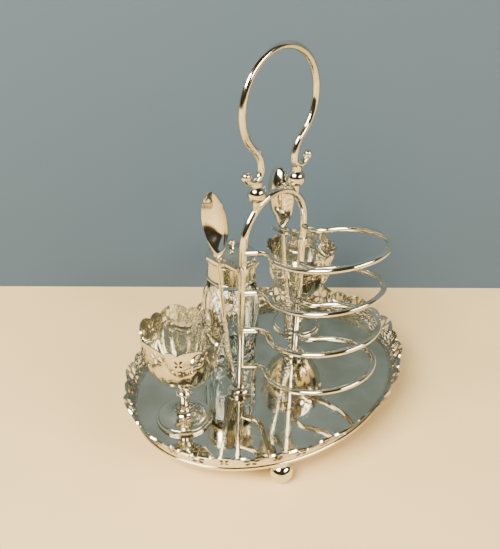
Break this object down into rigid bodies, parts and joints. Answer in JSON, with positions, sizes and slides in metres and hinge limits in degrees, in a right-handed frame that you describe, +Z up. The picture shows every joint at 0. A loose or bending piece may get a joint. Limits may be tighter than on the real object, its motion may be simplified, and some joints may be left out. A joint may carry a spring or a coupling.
{
  "type": "cruet set",
  "caption": "Oval tray on ball feet with an arch that carries toast rack loops, a ring handle and hanging spoons, with egg cups and a hinged-lid glass jar standing on it.",
  "frame": {"origin": "on the ground, under the middle of the tray", "axes": "+Z up; X along the tray, from the left post to the right post; the toast rack is towards -Y and the jar towards +Y"},
  "size_m": [0.215, 0.167, 0.2432],
  "materials": {
    "tray_mirror": "mirror-polished silver plate with fine scratches",
    "gallery_silver": "pierced and chased silver plate with dark tarnish in the crevices",
    "wire_silver": "polished silver plate on round wire",
    "turned_silver": "polished silver plate, tarnished at the joints",
    "foot_silver": "polished silver plate",
    "cup_silver": "embossed silver plate with dark tarnish in the low parts",
    "spoon_silver": "polished bowl, chased and tarnished handle",
    "jar_silver": "polished silver plate with turned lines",
    "jar_glass": "clear cut glass with upright flutes",
    "fastener_brass": "dull plated brass"
  },
  "bodies": {
    "stand": {"tray_plate": "tray_mirror", "pierced_gallery": "gallery_silver", "ball_foot_front_left": "foot_silver", "ball_foot_front_right": "foot_silver", "ball_foot_back_left": "foot_silver", "ball_foot_back_right": "foot_silver", "foot_pads": "foot_silver", "arch_frame": "wire_silver", "post_washers": "fastener_brass", "post_nuts": "fastener_brass", "carrying_handle": "wire_silver", "rack_loop_1": "wire_silver", "rack_loop_2": "wire_silver", "rack_loop_3": "wire_silver", "rack_loop_4": "wire_silver", "left_post_boss": "turned_silver", "left_handle_ball": "turned_silver", "left_handle_stud": "turned_silver", "left_spoon_bracket": "turned_silver", "right_post_boss": "turned_silver", "right_handle_ball": "turned_silver", "right_handle_stud": "turned_silver", "right_spoon_bracket": "turned_silver"},
    "left_egg_cup": {"left_cup_bowl": "cup_silver", "left_cup_stem": "cup_silver", "left_cup_foot": "cup_silver"},
    "right_egg_cup": {"right_cup_bowl": "cup_silver", "right_cup_stem": "cup_silver", "right_cup_foot": "cup_silver"},
    "left_spoon": {"left_egg_spoon": "spoon_silver"},
    "right_spoon": {"right_egg_spoon": "spoon_silver"},
    "jar": {"jar_glass": "jar_glass", "jar_collar": "jar_silver", "jar_hinge_pin": "jar_silver"},
    "lid": {"jar_lid": "jar_silver", "jar_lid_finial": "jar_silver"}
  },
  "joints": [
    {"name": "left_cup_lift", "type": "slide", "parent": "stand", "child": "left_egg_cup", "axis": [0, 0, 1], "range_m": [0, 0.24]},
    {"name": "right_cup_lift", "type": "slide", "parent": "stand", "child": "right_egg_cup", "axis": [0.4003, 0, 0.9164], "range_m": [0, 0.25]},
    {"name": "jar_lift", "type": "slide", "parent": "stand", "child": "jar", "axis": [0, 0, 1], "range_m": [0, 0.24]},
    {"name": "jar_lid_hinge", "type": "hinge", "parent": "jar", "child": "lid", "pos_m": [-0.001, 0.0176, 0.09775], "axis": [1, 0, 0], "range_deg": [0, 105]},
    {"name": "left_spoon_lift", "type": "slide", "parent": "stand", "child": "left_spoon", "axis": [0, 0.1392, 0.9903], "range_m": [0, 0.23]},
    {"name": "right_spoon_lift", "type": "slide", "parent": "stand", "child": "right_spoon", "axis": [0, 0.1392, 0.9903], "range_m": [0, 0.23]}
  ]
}
